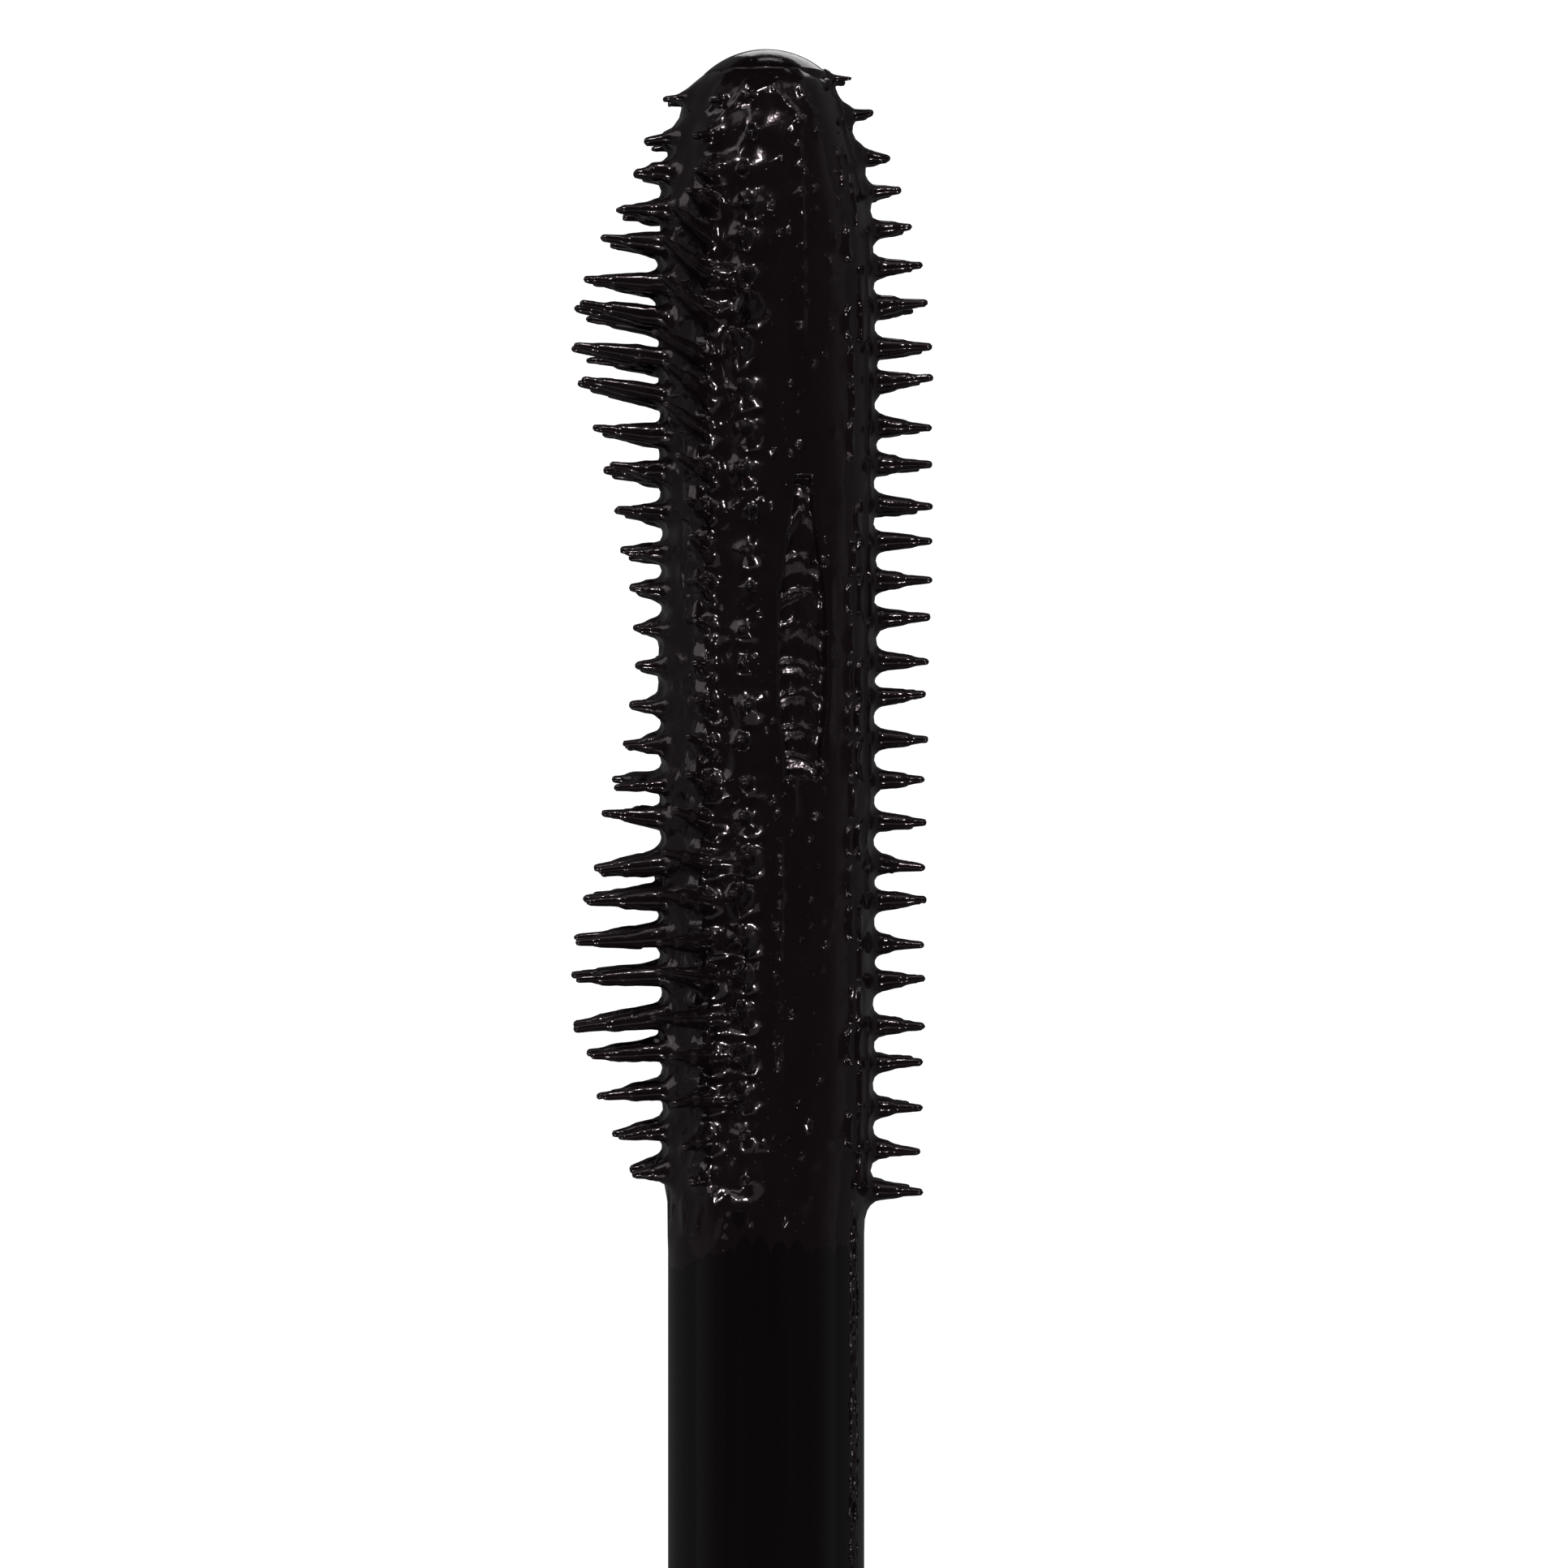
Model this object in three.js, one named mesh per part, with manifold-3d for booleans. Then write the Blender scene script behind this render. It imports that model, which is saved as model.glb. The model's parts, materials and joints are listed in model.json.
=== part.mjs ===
// Mascara: a cap with its wand and brush, and the tube it screws into.
// It lies on its side with the tube drawn off the wand, open. Millimetres, +Z up.
//
// Every piece is turned about one axis, so each is modelled upright on +Y, where
// y is the distance from the closed end of the cap. +X is the comb side of the brush and
// +Z is the side that faces up. The whole assembly is then laid down so that +Y becomes
// world +X and +X becomes world -Y.

import * as THREE from 'three';
import { mergeVertices } from 'three/addons/utils/BufferGeometryUtils.js';
import Module from 'manifold-3d';

const wasm = await Module();
wasm.setup();

// ---- driving dimensions ----

const OUTER_R = 8.3; // cap and tube are flush
const SHELL = 1.0; // wall of the overcap and of its band
const CHAMFER = 0.35;
const FIT = 0.1; // radial room between pieces that are pressed or bonded together
const SEAM = 0.1; // room along the axis between pieces that meet end to end

const CAP_LENGTH = 44;
const BAND_LENGTH = 3;
const END_WALL = 1.2;
const DISC_R = 6.9;
const DISC_THICK = 0.5;
const WEIGHT_LENGTH = 11;

const SOCKET_R = 6.0; // bore of the inner cap that takes the neck
const SOCKET_DEPTH = 12;
const WEB = 3; // wall of the inner cap that holds the stem
const INNER_CAP_LENGTH = 26;

const STEM_R = 2.25;
const STEM_HEAD_R = 3.6;
const STEM_HEAD = 2.2;
const STEM_REACH = 67.6; // where the stem ends and the brush starts
const ROOT_HOLE_R = 1.3;
const ROOT_DEPTH = 8.4;

const CORE_R = 1.2;
const BRUSH_LENGTH = 26.4;
const DOME_R = 1.45;
const DOME_HEIGHT = 0.55;
const SLEEVE_R = 2.05;
const SLEEVE_NECK_DROP = 0.15; // how much thinner the sleeve gets before its end
const SLEEVE_NECK_START = 1.8; // both measured back from the end of the sleeve
const SLEEVE_NECK_END = 0.8;
const SLEEVE_LIP_R = 1.5;
const SLEEVE_FACETS = 36; // facets face every row of bristles, which stand in tens of degrees

const NECK_R = 5.3;
const NECK_BORE_R = 4.55;
const NECK_LENGTH = 11;
const THREAD_PITCH = 3;
const THREAD_HEIGHT = 0.5;
const THREAD_START = 37.1; // foot of the cap's ridge, along the axis
const THREAD_TURNS_CAP = 1.75;
const THREAD_TURNS_NECK = 1.25;
const UNSCREW_TURNS = 1.25;

const TUBE_LENGTH = 66; // from the cap's edge to the base, with the cap on
const COLLAR = 1.8; // shoulder ring, along the axis
const BOTTLE_R = 7.0;
const BOTTLE_WALL = 1.4;
const BOTTLE_FLOOR = 1.2;
const BOTTLE_END = 105.5;
const BOTTLE_BEVEL = 0.8; // round the closed end, across the axis
const BOTTLE_BEVEL_LENGTH = 1.4;
const BOTTLE_SHOULDER = 1; // slope under the neck, outside
const BORE_SHOULDER = 2.4; // slope under the neck, inside
const PLUG_FLANGE = 1.5;
const FILL_WALL = 0.75;
const FILL_POOL = 2.5;
const FILL_CLEAR = 1; // room left between the pool and the bottle's floor

const GASKET_THICK = 0.9;
const GASKET_INNER_R = 2.5;
const GASKET_OUTER_R = 5.3;
const WIPER_FLANGE = 0.6;
const WIPER_MOUTH_R = 3.8;
const WIPER_MOUTH_DEPTH = 5;
const WIPER_WALL_DEPTH = 5.5; // how far its outer wall fills the neck
const WIPER_LIP_R = 2.35;
const WIPER_LIP_THICK = 0.6;
const WIPER_LIP_LENGTH = 1;
const WIPER_LENGTH = 10.6;

const REST_SHIFT = 67; // how far the open tube stands from its closed place
const FACETS = 40; // a multiple of four, so that a flat lies on the table
const FINE_FACETS = 24;
const AXIS_HEIGHT = OUTER_R * Math.cos(Math.PI / FACETS);

const SOCKET_FLOOR = CAP_LENGTH - SOCKET_DEPTH;
const MOUTH = SOCKET_FLOOR + GASKET_THICK + SEAM;
const SHOULDER = CAP_LENGTH + SEAM;
const BASE = CAP_LENGTH + TUBE_LENGTH;
const BRUSH_TIP = STEM_REACH + BRUSH_LENGTH;
const OVERALL = BASE + REST_SHIFT;

// ---- materials ----

function material(color, roughness, metalness) {
  return new THREE.MeshStandardMaterial({ color, roughness, metalness });
}

const gloss = material(0x0b0b0d, 0.16, 0);
const satin = material(0x121114, 0.42, 0);
const inner = material(0x1b1b1e, 0.5, 0);
const gunmetal = material(0x4a4c52, 0.26, 0.9);
const steel = material(0x8d9095, 0.4, 0.9);
const rubber = material(0x17171a, 0.7, 0);
const clear = material(0xb9c0c6, 0.12, 0);
const wet = material(0x08080a, 0.2, 0);

// ---- shapes ----

/** A solid of revolution about +Y from a closed outline of [radius, y] corners. */
function turned(outline, facets = FACETS) {
  const points = outline.map(([r, y]) => new THREE.Vector2(r, y));
  const onAxis = points[0].x === 0 && points.at(-1).x === 0;
  if (!onAxis) points.push(points[0].clone());
  return new THREE.LatheGeometry(points, facets, Math.PI / facets);
}

function solid(geometry) {
  const bare = geometry.clone();
  bare.deleteAttribute('normal');
  bare.deleteAttribute('uv');
  const merged = mergeVertices(bare, 1e-5);
  const mesh = new wasm.Mesh({
    numProp: 3,
    vertProperties: new Float32Array(merged.attributes.position.array),
    triVerts: new Uint32Array(merged.index.array),
  });
  mesh.merge();
  return new wasm.Manifold(mesh);
}

function toGeometry(manifold) {
  const { vertProperties, triVerts } = manifold.getMesh();
  const geometry = new THREE.BufferGeometry();
  geometry.setAttribute('position', new THREE.BufferAttribute(vertProperties, 3));
  geometry.setIndex(new THREE.BufferAttribute(triVerts, 1));
  geometry.computeVertexNormals();
  return geometry;
}

/**
 * One helical ridge of trapezoid section, right-handed about +Y. It is sunk into its wall
 * and fades out at both ends. crestSide is 1 for a ridge on a shaft and -1 for one in a bore.
 */
function threadRidge({ wallR, crestSide, startY, startTurn, turns }) {
  const stepsPerTurn = 24;
  const steps = Math.round(turns * stepsPerTurn);
  const fadeSteps = 3;
  const sunk = 0.2;
  const rootHalf = 0.65;
  const crestHalf = 0.3;
  const positions = [];
  for (let i = 0; i <= steps; i += 1) {
    const turn = i / stepsPerTurn;
    const angle = 2 * Math.PI * (startTurn + turn);
    const grown = Math.min(1, i / fadeSteps, (steps - i) / fadeSteps);
    const rootR = wallR - crestSide * sunk;
    const crestR = rootR + crestSide * (0.5 * sunk + grown * (0.5 * sunk + THREAD_HEIGHT));
    const y = startY + THREAD_PITCH * turn;
    const section = [
      [rootR, y - rootHalf],
      [crestR, y - crestHalf],
      [crestR, y + crestHalf],
      [rootR, y + rootHalf],
    ];
    for (const [r, height] of section) {
      positions.push(r * Math.sin(angle), height, r * Math.cos(angle));
    }
  }
  const index = [];
  const quad = (a, b, c, d) => {
    if (crestSide > 0) index.push(a, b, c, a, c, d);
    else index.push(a, c, b, a, d, c);
  };
  for (let i = 0; i < steps; i += 1) {
    for (let k = 0; k < 4; k += 1) {
      const here = 4 * i;
      const next = here + 4;
      const up = (k + 1) % 4;
      quad(here + k, next + k, next + up, here + up);
    }
  }
  const last = 4 * steps;
  quad(0, 1, 2, 3);
  quad(last + 3, last + 2, last + 1, last);
  const geometry = new THREE.BufferGeometry();
  geometry.setAttribute('position', new THREE.Float32BufferAttribute(positions, 3));
  geometry.setIndex(index);
  return geometry;
}

/** A smooth value at s through [s, value] points, by cubic Hermite pieces. */
function smoothThrough(points, s) {
  const slope = (i) => {
    const before = points[Math.max(i - 1, 0)];
    const after = points[Math.min(i + 1, points.length - 1)];
    return (after[1] - before[1]) / (after[0] - before[0]);
  };
  const passed = points.filter(([place]) => place <= s).length;
  const i = THREE.MathUtils.clamp(passed - 1, 0, points.length - 2);
  const [s0, v0] = points[i];
  const [s1, v1] = points[i + 1];
  const span = s1 - s0;
  const t = (s - s0) / span;
  const rise = slope(i) * span * t * (1 - t) ** 2 - slope(i + 1) * span * t ** 2 * (1 - t);
  return v0 + (v1 - v0) * t ** 2 * (3 - 2 * t) + rise;
}

// ---- the cap ----

function overcap() {
  const innerR = OUTER_R - SHELL;
  const recess = DISC_THICK + SEAM / 2;
  const edge = CAP_LENGTH - BAND_LENGTH - SEAM;
  return turned([
    [0, recess],
    [DISC_R + FIT, recess],
    [DISC_R + FIT, 0],
    [OUTER_R - CHAMFER, 0],
    [OUTER_R, CHAMFER],
    [OUTER_R, edge],
    [innerR, edge],
    [innerR, recess + END_WALL],
    [0, recess + END_WALL],
  ]);
}

function disc(radius, thick) {
  return turned([[0, 0], [radius, 0], [radius, thick], [0, thick]]);
}

function capBand() {
  const start = CAP_LENGTH - BAND_LENGTH;
  const bevel = 0.2;
  return turned([
    [OUTER_R - SHELL, start],
    [OUTER_R, start],
    [OUTER_R, CAP_LENGTH - bevel],
    [OUTER_R - bevel, CAP_LENGTH],
    [OUTER_R - SHELL, CAP_LENGTH],
  ]);
}

function capWeight() {
  const start = DISC_THICK + END_WALL + 3 * SEAM;
  const bevel = 0.5;
  const r = OUTER_R - SHELL - FIT;
  return turned([
    [0, start],
    [r, start],
    [r, start + WEIGHT_LENGTH - bevel],
    [r - bevel, start + WEIGHT_LENGTH],
    [0, start + WEIGHT_LENGTH],
  ]);
}

function innerCap() {
  const outerR = OUTER_R - SHELL - FIT;
  const start = CAP_LENGTH - INNER_CAP_LENGTH;
  const webStart = SOCKET_FLOOR - WEB;
  const body = turned([
    [STEM_HEAD_R + FIT, start],
    [outerR, start],
    [outerR, CAP_LENGTH - SEAM],
    [SOCKET_R, CAP_LENGTH - SEAM],
    [SOCKET_R, SOCKET_FLOOR],
    [STEM_R + FIT, SOCKET_FLOOR],
    [STEM_R + FIT, webStart],
    [STEM_HEAD_R + FIT, webStart],
  ]);
  const ridge = threadRidge({
    wallR: SOCKET_R,
    crestSide: -1,
    startY: THREAD_START,
    startTurn: 0,
    turns: THREAD_TURNS_CAP,
  });
  return toGeometry(solid(body).add(solid(ridge)));
}

// ---- the wand ----

function stem() {
  const headTop = SOCKET_FLOOR - WEB - SEAM;
  return turned([
    [0, headTop - STEM_HEAD],
    [STEM_HEAD_R, headTop - STEM_HEAD],
    [STEM_HEAD_R, headTop],
    [STEM_R, headTop],
    [STEM_R, STEM_REACH],
    [ROOT_HOLE_R, STEM_REACH],
    [ROOT_HOLE_R, STEM_REACH - ROOT_DEPTH],
    [0, STEM_REACH - ROOT_DEPTH],
  ], FINE_FACETS);
}

/** The rod that the bristle sleeve is moulded on. Its domed tip is wider than the rod. */
function brushCore() {
  const domeFoot = BRUSH_TIP - DOME_HEIGHT;
  const dome = [];
  const steps = 6;
  for (let i = 0; i <= steps; i += 1) {
    const angle = (Math.PI / 2) * (i / steps);
    const r = i === steps ? 0 : DOME_R * Math.cos(angle);
    dome.push([r, domeFoot + DOME_HEIGHT * Math.sin(angle)]);
  }
  return turned([
    [0, STEM_REACH - ROOT_DEPTH + FIT],
    [CORE_R, STEM_REACH - ROOT_DEPTH + FIT],
    [CORE_R, domeFoot],
    ...dome,
  ], FINE_FACETS);
}

const BRISTLES_PER_ROW = 29;

/** How far the bristle tips stand from the axis, at s along the brush. */
const VOLUME_REACH = [
  [0.8, 3.1],
  [2.9, 4.0],
  [5.3, 4.54],
  [8.8, 3.7],
  [12.6, 3.0],
  [16.2, 3.65],
  [19.3, 4.48],
  [22.8, 3.46],
  [25.4, 2.4],
];
const COMB_REACH = [
  [0.2, 3.57],
  [10, 3.69],
  [19.8, 3.81],
  [21.8, 3.48],
  [24.5, 2.7],
  [25.8, 1.9],
];

/** Angles are from the comb side towards the side that faces up, in degrees. */
const VOLUME_ROWS = [180, 150, -150, 120, -120, 100, -100];
const COMB_ROWS = [0, -30];

function bristle(rowAngle, y, reach) {
  const rootR = 0.17;
  const tipR = 0.09;
  const foot = CORE_R + 0.3;
  const height = reach - foot;
  const geometry = new THREE.CylinderGeometry(tipR, rootR, height, 4);
  geometry.rotateZ(-Math.PI / 2);
  geometry.translate(foot + height / 2, 0, 0);
  geometry.rotateY(-THREE.MathUtils.degToRad(rowAngle));
  geometry.translate(0, y, 0);
  return solid(geometry);
}

function bristleRow(rowAngle, reachPoints, inset) {
  const row = [];
  for (let i = 0; i < BRISTLES_PER_ROW; i += 1) {
    const free = BRUSH_LENGTH - inset.foot - inset.tip;
    const s = inset.foot + (free * i) / (BRISTLES_PER_ROW - 1);
    row.push(bristle(rowAngle, STEM_REACH + s, smoothThrough(reachPoints, s)));
  }
  return row;
}

function bristleSleeve() {
  const start = STEM_REACH + SEAM / 2;
  const end = BRUSH_TIP - DOME_HEIGHT - SEAM / 2;
  const tube = turned([
    [CORE_R + FIT, start],
    [SLEEVE_R, start],
    [SLEEVE_R, end - SLEEVE_NECK_START],
    [SLEEVE_R - SLEEVE_NECK_DROP, end - SLEEVE_NECK_END],
    [SLEEVE_LIP_R, end],
    [CORE_R + FIT, end],
  ], SLEEVE_FACETS);
  const pieces = [solid(tube)];
  for (const angle of VOLUME_ROWS) {
    pieces.push(...bristleRow(angle, VOLUME_REACH, { foot: 0.87, tip: 1.14 }));
  }
  for (const angle of COMB_ROWS) {
    pieces.push(...bristleRow(angle, COMB_REACH, { foot: 0.3, tip: 0.9 }));
  }
  return toGeometry(wasm.Manifold.union(pieces));
}

// ---- the tube, in its closed place ----

function gasketRing() {
  const start = SOCKET_FLOOR + SEAM / 2;
  const end = start + GASKET_THICK;
  return turned([
    [GASKET_INNER_R, start],
    [GASKET_OUTER_R, start],
    [GASKET_OUTER_R, end],
    [GASKET_INNER_R, end],
  ]);
}

function wiper() {
  const wallR = NECK_BORE_R - FIT / 2;
  const lipEnd = MOUTH + WIPER_LENGTH;
  return turned([
    [WIPER_MOUTH_R, MOUTH],
    [NECK_R - FIT, MOUTH],
    [NECK_R - FIT, MOUTH + WIPER_FLANGE],
    [wallR, MOUTH + WIPER_FLANGE],
    [wallR, MOUTH + WIPER_WALL_DEPTH],
    [WIPER_LIP_R + WIPER_LIP_THICK, lipEnd],
    [WIPER_LIP_R, lipEnd],
    [WIPER_LIP_R, lipEnd - WIPER_LIP_LENGTH],
    [WIPER_MOUTH_R, MOUTH + WIPER_MOUTH_DEPTH],
  ]);
}

function innerBottle() {
  const rim = MOUTH + WIPER_FLANGE + SEAM / 2;
  const shoulderStart = SHOULDER + COLLAR + SEAM;
  const boreR = BOTTLE_R - BOTTLE_WALL;
  const body = turned([
    [0, BOTTLE_END - BOTTLE_FLOOR],
    [boreR, BOTTLE_END - BOTTLE_FLOOR],
    [boreR, shoulderStart + BORE_SHOULDER],
    [NECK_BORE_R, shoulderStart],
    [NECK_BORE_R, rim],
    [NECK_R, rim],
    [NECK_R, shoulderStart],
    [BOTTLE_R, shoulderStart + BOTTLE_SHOULDER],
    [BOTTLE_R, BOTTLE_END - BOTTLE_BEVEL_LENGTH],
    [BOTTLE_R - BOTTLE_BEVEL, BOTTLE_END],
    [0, BOTTLE_END],
  ]);
  const ridge = threadRidge({
    wallR: NECK_R,
    crestSide: 1,
    startY: THREAD_START + THREAD_PITCH / 2,
    startTurn: 0,
    turns: THREAD_TURNS_NECK,
  });
  return toGeometry(solid(body).add(solid(ridge)));
}

function shoulderRing() {
  const bevel = 0.2;
  const end = SHOULDER + COLLAR;
  return turned([
    [NECK_R + FIT, SHOULDER],
    [OUTER_R - bevel, SHOULDER],
    [OUTER_R, SHOULDER + bevel],
    [OUTER_R, end],
    [NECK_R + FIT, end],
  ]);
}

function outerSleeve() {
  const start = SHOULDER + COLLAR + SEAM;
  const end = BASE - PLUG_FLANGE - SEAM;
  const innerR = BOTTLE_R + FIT;
  return turned([[innerR, start], [OUTER_R, start], [OUTER_R, end], [innerR, end]]);
}

function basePlug() {
  const recess = BASE - DISC_THICK - SEAM / 2;
  return turned([
    [0, BOTTLE_END + SEAM],
    [BOTTLE_R, BOTTLE_END + SEAM],
    [BOTTLE_R, BASE - PLUG_FLANGE],
    [OUTER_R, BASE - PLUG_FLANGE],
    [OUTER_R, BASE - CHAMFER],
    [OUTER_R - CHAMFER, BASE],
    [DISC_R + FIT, BASE],
    [DISC_R + FIT, recess],
    [0, recess],
  ]);
}

/** The mascara left in the bottle: a lining on its wall and a pool at its closed end. */
function formulaFill() {
  const outerR = BOTTLE_R - BOTTLE_WALL - FIT;
  const start = SHOULDER + COLLAR + BORE_SHOULDER + 3 * SEAM;
  const lead = UNSCREW_TURNS * THREAD_PITCH; // how far the bottle travels over the fill
  const end = BOTTLE_END - BOTTLE_FLOOR - lead - FILL_CLEAR;
  return turned([
    [0, end - FILL_POOL],
    [outerR - FILL_WALL, end - FILL_POOL],
    [outerR - FILL_WALL, start],
    [outerR, start],
    [outerR, end],
    [0, end],
  ]);
}

// ---- assembly ----

function piece(name, geometry, finish) {
  const mesh = new THREE.Mesh(geometry, finish);
  mesh.name = name;
  return mesh;
}

function wand() {
  const group = new THREE.Group();
  group.add(
    piece('overcap', overcap(), gloss),
    piece('cap_end_disc', disc(DISC_R, DISC_THICK), gunmetal),
    piece('cap_band', capBand(), gunmetal),
    piece('cap_weight', capWeight(), steel),
    piece('inner_cap', innerCap(), inner),
    piece('stem', stem(), satin),
    piece('brush_core', brushCore(), satin),
    piece('bristle_sleeve', bristleSleeve(), wet),
  );
  return group;
}

/** Everything that leaves the wand when the mascara is opened. */
function tube() {
  const group = new THREE.Group();
  const baseDisc = piece('base_disc', disc(DISC_R, DISC_THICK), gunmetal);
  baseDisc.position.y = BASE - DISC_THICK;
  group.add(
    piece('wiper', wiper(), rubber),
    piece('inner_bottle', innerBottle(), clear),
    piece('shoulder_ring', shoulderRing(), gunmetal),
    piece('outer_sleeve', outerSleeve(), gloss),
    piece('base_plug', basePlug(), satin),
    piece('formula_fill', formulaFill(), wet),
    baseDisc,
  );
  group.position.y = REST_SHIFT;
  group.rotation.y = UNSCREW_TURNS * 2 * Math.PI;
  return group;
}

const upright = new THREE.Group();
upright.add(wand(), piece('gasket_ring', gasketRing(), rubber), tube());
upright.position.y = -OVERALL / 2;

const mascara = new THREE.Group();
mascara.add(upright);
mascara.rotation.z = -Math.PI / 2;
mascara.position.z = AXIS_HEIGHT;

export default mascara;
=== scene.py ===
"""A mascara lying open on its side, seen from straight above: the loaded brush and its stem.

Pieces are worked out in millimetres along the common axis: x runs from the cap to the base of
the tube, as in the frame, and angles are round that axis, 0 at the comb side of the brush (-Y)
and 90 at the side that faces up (+Z).
"""

import json
import math

import bmesh
import bpy
import numpy as np
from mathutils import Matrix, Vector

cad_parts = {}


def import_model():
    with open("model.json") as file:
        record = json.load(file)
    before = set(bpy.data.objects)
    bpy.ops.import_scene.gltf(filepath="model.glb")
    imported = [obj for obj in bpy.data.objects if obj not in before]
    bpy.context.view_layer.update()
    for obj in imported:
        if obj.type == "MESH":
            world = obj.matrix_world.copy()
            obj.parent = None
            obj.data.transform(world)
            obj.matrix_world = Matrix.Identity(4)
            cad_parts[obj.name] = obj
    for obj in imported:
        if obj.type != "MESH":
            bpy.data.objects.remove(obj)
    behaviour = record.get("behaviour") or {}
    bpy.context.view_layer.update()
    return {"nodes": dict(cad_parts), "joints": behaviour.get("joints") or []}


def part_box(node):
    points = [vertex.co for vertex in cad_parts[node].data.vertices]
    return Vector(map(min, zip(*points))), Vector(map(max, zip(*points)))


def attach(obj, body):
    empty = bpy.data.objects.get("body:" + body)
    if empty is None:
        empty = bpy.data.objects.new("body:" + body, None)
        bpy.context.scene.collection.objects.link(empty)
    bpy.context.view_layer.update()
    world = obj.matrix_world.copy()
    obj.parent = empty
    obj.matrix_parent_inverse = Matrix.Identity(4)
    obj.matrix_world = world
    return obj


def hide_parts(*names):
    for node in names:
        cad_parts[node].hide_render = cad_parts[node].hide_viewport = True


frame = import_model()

import openvdb
from mathutils import Vector

MM = 0.001

AXIS_Z = frame["joints"][0]["pos_m"][2] / MM
STEM_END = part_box("stem")[1].x / MM
BRUSH_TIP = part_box("brush_core")[1].x / MM

SEED = 20
CLOSE = 0.01  # millimetres: a point this close to the axis or to a wall is taken to lie on it


# ---- small helpers ----


def place(x, across, up):
    """World metres from millimetres along the axis, to the comb side and up from the axis."""
    return Vector((x * MM, -across * MM, (up + AXIS_Z) * MM))


def polar(x, radius, degrees):
    """World metres from a place along the axis, a radius and an angle."""
    angle = math.radians(degrees)
    return place(x, radius * math.cos(angle), radius * math.sin(angle))


def new_piece(name, mesh, material, body, slot, *nodes):
    """A visible piece that rides a body and stands in for its CAD nodes."""
    piece = bpy.data.objects.new(name, mesh)
    bpy.context.scene.collection.objects.link(piece)
    mesh.materials.append(material)
    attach(piece, body)
    if nodes:
        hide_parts(*nodes)
    return piece


# ---- materials ----


def fill_ramp(node, stops):
    """Give a colour ramp its (position, colour) stops."""
    elements = node.color_ramp.elements
    while len(elements) < len(stops):
        elements.new(0.5)
    for element, (position, colour) in zip(elements, stops):
        element.position = position
        element.color = (*colour, 1)


def grey(level):
    return (level, level, level)


class Shader:
    """A material with one Principled shader, and short ways to feed it."""

    def __init__(self, name, **values):
        self.material = bpy.data.materials.new(name)
        self.material.use_nodes = True
        self.tree = self.material.node_tree
        self.shader = self.tree.nodes["Principled BSDF"]
        self.space = self.add("ShaderNodeTexCoord").outputs["Object"]
        for socket, value in values.items():
            self.shader.inputs[socket].default_value = value

    def add(self, kind, **values):
        """A node, with its settings or its inputs' values by name."""
        node = self.tree.nodes.new(kind)
        for name, value in values.items():
            if hasattr(node, name):
                setattr(node, name, value)
            else:
                node.inputs[name.replace("_", " ")].default_value = value
        return node

    def link(self, output, to):
        self.tree.links.new(output, to)

    def stretched(self, scale):
        """Object coordinates in millimetres, scaled by (along, across, up)."""
        mapping = self.add("ShaderNodeMapping")
        mapping.inputs["Scale"].default_value = [s / MM for s in scale]
        self.link(self.space, mapping.inputs["Vector"])
        return mapping.outputs["Vector"]

    def noise(self, scale, detail=3.0):
        """Noise with features about 1/scale millimetres across."""
        node = self.add("ShaderNodeTexNoise", Detail=detail)
        node.inputs["Scale"].default_value = 1.0
        self.link(self.stretched(scale), node.inputs["Vector"])
        return node.outputs["Fac"]

    def dots(self, scale, size):
        """1 inside scattered round dots and 0 outside."""
        node = self.add("ShaderNodeTexVoronoi")
        node.inputs["Scale"].default_value = 1.0
        self.link(self.stretched(scale), node.inputs["Vector"])
        return self.ramp(node.outputs["Distance"], (0.0, grey(1.0)), (size, grey(0.0)))

    def ramp(self, value, *stops):
        node = self.add("ShaderNodeValToRGB")
        fill_ramp(node, stops)
        self.link(value, node.inputs["Fac"])
        return node.outputs["Color"]

    def colours(self, value, *stops):
        """The base colour, from (level, colour) stops over a value."""
        self.link(self.ramp(value, *stops), self.shader.inputs["Base Color"])

    def rough(self, value, low, high):
        """The roughness, from low to high over a value."""
        node = self.add("ShaderNodeMapRange")
        node.inputs["To Min"].default_value = low
        node.inputs["To Max"].default_value = high
        self.link(value, node.inputs["Value"])
        self.link(node.outputs["Result"], self.shader.inputs["Roughness"])

    def bumps(self, *layers):
        """Bump layers, each (height, depth in millimetres, strength)."""
        normal = None
        for height, depth, strength in layers:
            node = self.add("ShaderNodeBump")
            node.inputs["Distance"].default_value = depth * MM
            node.inputs["Strength"].default_value = strength
            self.link(height, node.inputs["Height"])
            if normal:
                self.link(normal, node.inputs["Normal"])
            normal = node.outputs["Normal"]
        self.link(normal, self.shader.inputs["Normal"])


def mascara_material():
    """Near-black with a plum cast, wet, finely grained and pitted."""
    look = Shader(
        "wet_mascara",
        **{
            "IOR": 1.47,
            "Coat Weight": 0.3,
            "Coat Roughness": 0.03,
            "Specular Tint": (1.0, 0.84, 0.90, 1.0),
        },
    )
    shade = look.noise((0.8, 1.4, 1.4))
    look.colours(shade, (0.3, (0.0074, 0.0044, 0.0055)), (0.75, (0.0096, 0.0060, 0.0073)))
    look.rough(look.noise((1.6, 2.4, 2.4), 4.0), 0.04, 0.20)
    grain = look.noise((16.0, 20.0, 20.0), 2.0)
    lumps = look.noise((2.5, 4.0, 4.0), 2.0)
    look.bumps(
        (lumps, 0.022, 0.4),
        (grain, 0.006, 0.35),
        (look.dots((5.0, 5.0, 5.0), 0.14), 0.02, 0.4),
    )
    return look.material


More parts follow.
